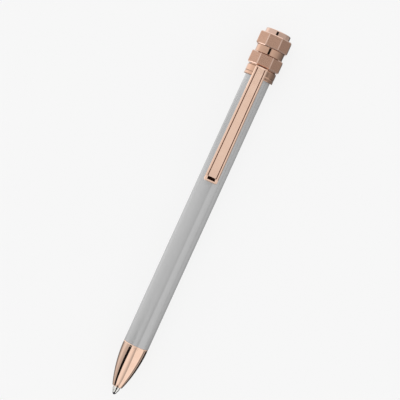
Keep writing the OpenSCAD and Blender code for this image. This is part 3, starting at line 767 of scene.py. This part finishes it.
# %% [markdown]
# ## Light
#
# Small shiny things are photographed in a light tent: long soft panels run beside the object, with dark
# gaps that draw its edges. The world stands in for the tent, and its brightness depends on the direction
# round the pen's axis and along it. Each place along a straight mirror shows its own slice of the tent, so
# the tent is a row of bays: a curtain before the tip, then a wall each for the tip, the nose, the barrel
# with the clip, the collar and the crown, another curtain, and an even panel in line with the axis, which
# the flat top of the disc mirrors. The camera itself sees a plain pale background.

# %% Measure directions in the tent
world = bpy.data.worlds.new("light_tent")
bpy.context.scene.world = world
world.use_nodes = True
tree = world.node_tree
tree.nodes.clear()
seen = add_node(tree, "TexCoord")
parts = add_node(tree, "SeparateXYZ", {0: seen.outputs["Generated"]})
lengthwise = parts.outputs["X"]
to_the_right = add_node(tree, "Math", {0: parts.outputs["Y"], 1: -1.0}, operation="MULTIPLY")
round_the_pen = add_node(tree, "Math", {
    0: to_the_right.outputs[0], 1: parts.outputs["Z"]}, operation="ARCTAN2")
angle = round_the_pen.outputs[0]


# %% Grey levels, walls, bays and cards
BRIGHTEST = 2.0
# The camera stands a little to one side of the clip, so the whole tent is rolled by this many degrees
TENT_ROLL = 2.1


def grey(level):
    """A level of brightness as a colour that a ramp can hold, which ends at one."""
    return [level / BRIGHTEST] * 3 + [1]


def tent_wall(table, turned=angle):
    """A ramp of brightness over the angle round the pen, in degrees from straight up, left negative."""
    turn = add_node(tree, "MapRange", {
        "Value": turned, "From Min": -pi, "From Max": pi, "To Min": 0.0, "To Max": 1.0})
    ramp = add_node(tree, "ValToRGB", {0: turn.outputs[0]})
    stops = ramp.color_ramp.elements
    while len(stops) < len(table):
        stops.new(0.5)
    for stop, (place_round, level) in zip(stops, table):
        stop.position = min(max((place_round + TENT_ROLL) / 360 + 0.5, 0), 1)
        stop.color = grey(level)
    return ramp.outputs["Color"]


def next_bay(before, after, start, end):
    """Passes from one bay's light to the next between two directions along the pen, each -1 to 1."""
    share = add_node(tree, "MapRange", {"Value": lengthwise, "From Min": start, "From Max": end})
    return add_node(tree, "Mix", {0: share.outputs[0], 6: before, 7: after}, data_type="RGBA").outputs[2]


def hang_card(light, middle, half_width, lengthwise_middle, lengthwise_half, level):
    """Hangs a small card or lamp in the tent; its place round the pen is in degrees."""
    centre = radians(middle + TENT_ROLL)
    across = add_node(tree, "Math", {0: angle, 1: centre, 2: radians(half_width)}, operation="COMPARE")
    down = add_node(tree, "Math", {
        0: lengthwise, 1: lengthwise_middle, 2: lengthwise_half}, operation="COMPARE")
    covered = add_node(tree, "Math", {0: across.outputs[0], 1: down.outputs[0]}, operation="MULTIPLY")
    return add_node(tree, "Mix", {
        0: covered.outputs[0], 6: light, 7: grey(level)}, data_type="RGBA").outputs[2]


def hang_cards(light, cards):
    """Hangs a list of cards, each (middle, half width, lengthwise middle, lengthwise half, level)."""
    for card in cards:
        light = hang_card(light, *card)
    return light


# %% [markdown]
# ### The walls
#
# Each wall is a list of (degrees round the pen, brightness), with straight up at 0 and left negative. A
# round piece mirrors twice the angle that its surface is turned, so what shows at a third of the way to its
# edge comes from about 40 degrees round the tent. Two places close together with very different levels make a
# hard edge, such as the sides of the black streak on the nose.

# %% Brightness round each wall
LOW_END = [(-180, 1.9), (-110, 1.9), (-80, 0.6), (0, 0.55), (60, 0.5), (180, 0.5)]
TIP_WALL = [
    (-180, 0.6), (-160, 1.0), (-120, 1.05), (-22, 1.05), (-18, 0.02), (48, 0.02), (52, 1.05), (115, 1.05),
    (125, 0.45), (180, 0.3),
]
NOSE_WALL = [
    (-180, 0.85), (-92, 0.86), (-75, 0.64), (-65, 0.56), (-50, 0.5), (-48.5, 0.01), (-27.5, 0.01),
    (-25.5, 1.02), (-12, 1.0), (0, 0.86), (10, 0.55), (19, 0.5), (20.5, 1.0), (180, 1.0),
]
NOSE_SIDES = [
    (-180, 0.4), (-166, 0.4), (-160, 0.15), (-150, 0.2), (-140, 0.3), (-128, 0.45), (-118, 0.78),
    (-108, 0.95), (-100, 1.0), (92, 1.0), (94.5, 0.26), (104, 0.2), (108, 0.45), (118, 0.45), (122, 0.03),
    (180, 0.03),
]
BARREL_WALL = [
    (-180, 1.2), (-170, 1.0), (-165, 0.5), (-150, 0.8), (-131, 1.15), (-98, 1.1), (-64, 1.0), (-45, 0.98),
    (-25, 0.88), (-5, 0.82), (10, 0.79), (14, 0.68), (20.5, 0.62), (22.5, 0.97), (38, 0.97), (54, 0.92),
    (86, 0.76), (98, 0.74), (113, 0.64), (131, 0.55), (150, 0.3), (165, 0.25), (170, 0.9), (177, 1.2),
]
COLLAR_WALL = [
    (-180, 1.0), (-147, 1.25), (-127, 1.45), (-112, 1.54), (-100, 1.46), (-89, 1.34), (-70, 1.2), (-45, 1.06),
    (-14, 0.88), (8, 0.84), (40, 0.55), (55, 0.38), (64, 0.48), (72, 0.54), (89, 0.42), (112, 0.29),
    (147, 0.26), (177, 0.2),
]
CROWN_WALL = [
    (-180, 1.0), (-150, 1.0), (-125, 1.5), (-110, 1.45), (-92, 1.08), (-66, 1.0), (-38, 0.92), (-14, 0.88),
    (8, 0.88), (16, 1.0), (40, 0.86), (65, 0.69), (85, 0.49), (106, 0.35), (122, 0.3), (150, 0.15),
    (177, 0.15),
]
HIGH_END = [
    (-180, 1.8), (-150, 1.8), (-142, 0.9), (-120, 0.9), (-100, 1.1), (-30, 0.85), (0, 0.75), (177, 0.75),
]
END_PANEL = 1.35
walls = (LOW_END, TIP_WALL, NOSE_WALL, NOSE_SIDES, BARREL_WALL, COLLAR_WALL, CROWN_WALL, HIGH_END)
print(f"{len(walls)} walls, {sum(len(wall) for wall in walls)} places in all")

# %% [markdown]
# ### The cards and lamps
#
# Some marks are too small for a wall, such as the hard black line along the neck and the disc. For these,
# small cards and lamps hang in front of the walls, each for one place on the pen. A new bay covers what was
# hung beyond its start, so the tip's and the barrel's cards are hung right after the bay that they hang in,
# and the crown's are hung last.

# %% Cards as (middle, half width, lengthwise middle, lengthwise half, level)
TIP_CARDS = [
    (-41, 19, -0.1801, 0.0016, 1.0),  # light on the left of the tip's straight part
    (14, 27, -0.1801, 0.0016, 0.02),  # the dark line along its middle
]
BARREL_CARDS = [
    (-105, 27, 0.038, 0.026, 0.66),  # the barrel's left margin beside the clip
    (0, 12, -0.0128, 0.003, 0.6),  # the free end of the clip's rim
    (58, 7, 0.047, 0.012, 0.6),  # a shade on the barrel at the right of the clip
    (-37, 9, -0.131, 0.006, 1.15),  # the rear half of the bright patch behind the nose
    (-37, 9, -0.142, 0.005, 1.9),  # its front half, which is brighter
    (-94.2, 2, -0.038, 0.108, 0.92),  # the clip's left pressed edge
    (-94.2, 2, -0.0125, 0.004, 0.6),  # the same edge at the free end
    (85.8, 2, -0.038, 0.108, 0.35),  # the clip's right pressed edge
]
CROWN_CARDS = [
    (-45, 5, 0.0825, 0.0045, 1.15),  # the lower nut's left long chamfer
    (-45, 5, 0.0976, 0.0046, 1.15),  # the upper nut's left long chamfer
    (-5.2, 9, 0.0895, 0.0055, 0.01),  # the black line along the neck
    (-46, 29, 0.108, 0.0065, 1.05),  # the disc's left side
    (41, 39, 0.108, 0.0065, 0.77),  # the disc's right side
    (106, 26, 0.108, 0.0065, 0.6),  # the disc's right margin
    (-7.2, 10, 0.108, 0.0065, 0.01),  # the black line along the disc
    (-128, 12, -0.7, 0.03, 2.0),  # the chamfers at the foot of the nuts' left faces
    (-157, 9, -0.38, 0.02, 1.6),  # the corners beside them
    (132, 12, -0.71, 0.02, 0.45),  # the chamfers at the foot of the nuts' right faces
]
print(f"{len(TIP_CARDS) + len(BARREL_CARDS) + len(CROWN_CARDS)} cards and lamps")

# %% [markdown]
# ### The tent put together
#
# The nose narrows towards the tip, and the stripes of its wall would narrow just as much. The photograph's
# narrow less, so the angle round the tent is flared along the nose, which widens them towards the tip. The
# dark sides keep to the nose's outline, so they aren't flared, and are multiplied on top. Then the bays
# follow each other from the tip to the crown.

# %% Flare the nose's wall
flare = add_node(tree, "MapRange", {
    "Value": lengthwise, "From Min": -0.63, "From Max": -0.17, "To Min": 0.56, "To Max": 1.0})
flared = add_node(tree, "Math", {0: angle, 1: flare.outputs[0]}, operation="MULTIPLY")
nose_sides = add_node(tree, "VectorMath", {0: tent_wall(NOSE_SIDES), 3: BRIGHTEST}, operation="SCALE")
nose_light = add_node(tree, "VectorMath", {
    0: tent_wall(NOSE_WALL, flared.outputs[0]), 1: nose_sides.outputs[0]}, operation="MULTIPLY")

# %% Join the bays from the tip to the crown
light = next_bay(tent_wall(LOW_END), tent_wall(TIP_WALL), -0.95, -0.9)
light = next_bay(light, nose_light.outputs[0], -0.735, -0.727)
light = hang_cards(light, TIP_CARDS)
light = next_bay(light, tent_wall(BARREL_WALL), -0.151, -0.1485)
light = hang_cards(light, BARREL_CARDS)
light = next_bay(light, tent_wall(COLLAR_WALL), 0.064, 0.067)
light = next_bay(light, tent_wall(CROWN_WALL), 0.078, 0.081)
light = next_bay(light, tent_wall(HIGH_END), 0.4, 0.6)
light = next_bay(light, grey(END_PANEL), 0.8, 0.93)
light = hang_cards(light, CROWN_CARDS)

# %% Light the pen with the tent, and show the camera a plain background
tent_light = add_node(tree, "Background", {"Color": light, "Strength": BRIGHTEST})
backdrop = add_node(tree, "Background", {"Color": linear("#f7f7f7"), "Strength": 1.0})
ray = add_node(tree, "LightPath")
seen_or_lit = add_node(tree, "MixShader", {
    0: ray.outputs["Is Camera Ray"], 1: tent_light.outputs[0], 2: backdrop.outputs[0]})
add_node(tree, "OutputWorld", {"Surface": seen_or_lit.outputs[0]})
bpy.context.scene.view_settings.view_transform = "Standard"
print(f"Light tent of {len(tree.nodes)} nodes")

# %% [markdown]
# ## Camera
#
# The photograph looks straight down on the clip from about half a metre, with the pen turned so that its
# crown is at the upper right. A long lens keeps the perspective flat.

# %% Set the camera
# Millimetres from the middle of the pen's axis: the camera's height, where it stands and where it aims
CAMERA_HEIGHT = 467
CAMERA_FOOT = (19.0, -17.0)
AIM = (5.045, 0.73)
# The pen's length in the picture, as its part to the right and its part up
PEN_TURN = (0.4158, 0.9094)
LENS, SENSOR = 121.4, 36
camera_data = bpy.data.cameras.new("studio_camera")
camera_data.lens = LENS
camera_data.sensor_width = SENSOR
camera_data.clip_start = 0.01
camera = bpy.data.objects.new("studio_camera", camera_data)
bpy.context.scene.collection.objects.link(camera)
eye = Vector((CAMERA_FOOT[0] * MM, CAMERA_FOOT[1] * MM, AXIS_Z + CAMERA_HEIGHT * MM))
target = Vector((AIM[0] * MM, AIM[1] * MM, AXIS_Z))
back = (eye - target).normalized()
up = Vector((PEN_TURN[1], PEN_TURN[0], 0))
right = up.cross(back).normalized()
up = back.cross(right)
camera.matrix_world = Matrix.Translation(eye) @ Matrix((right, up, back)).transposed().to_4x4()
bpy.context.scene.camera = camera
print(f"Camera {CAMERA_HEIGHT} mm above the pen's axis, lens {LENS} mm")
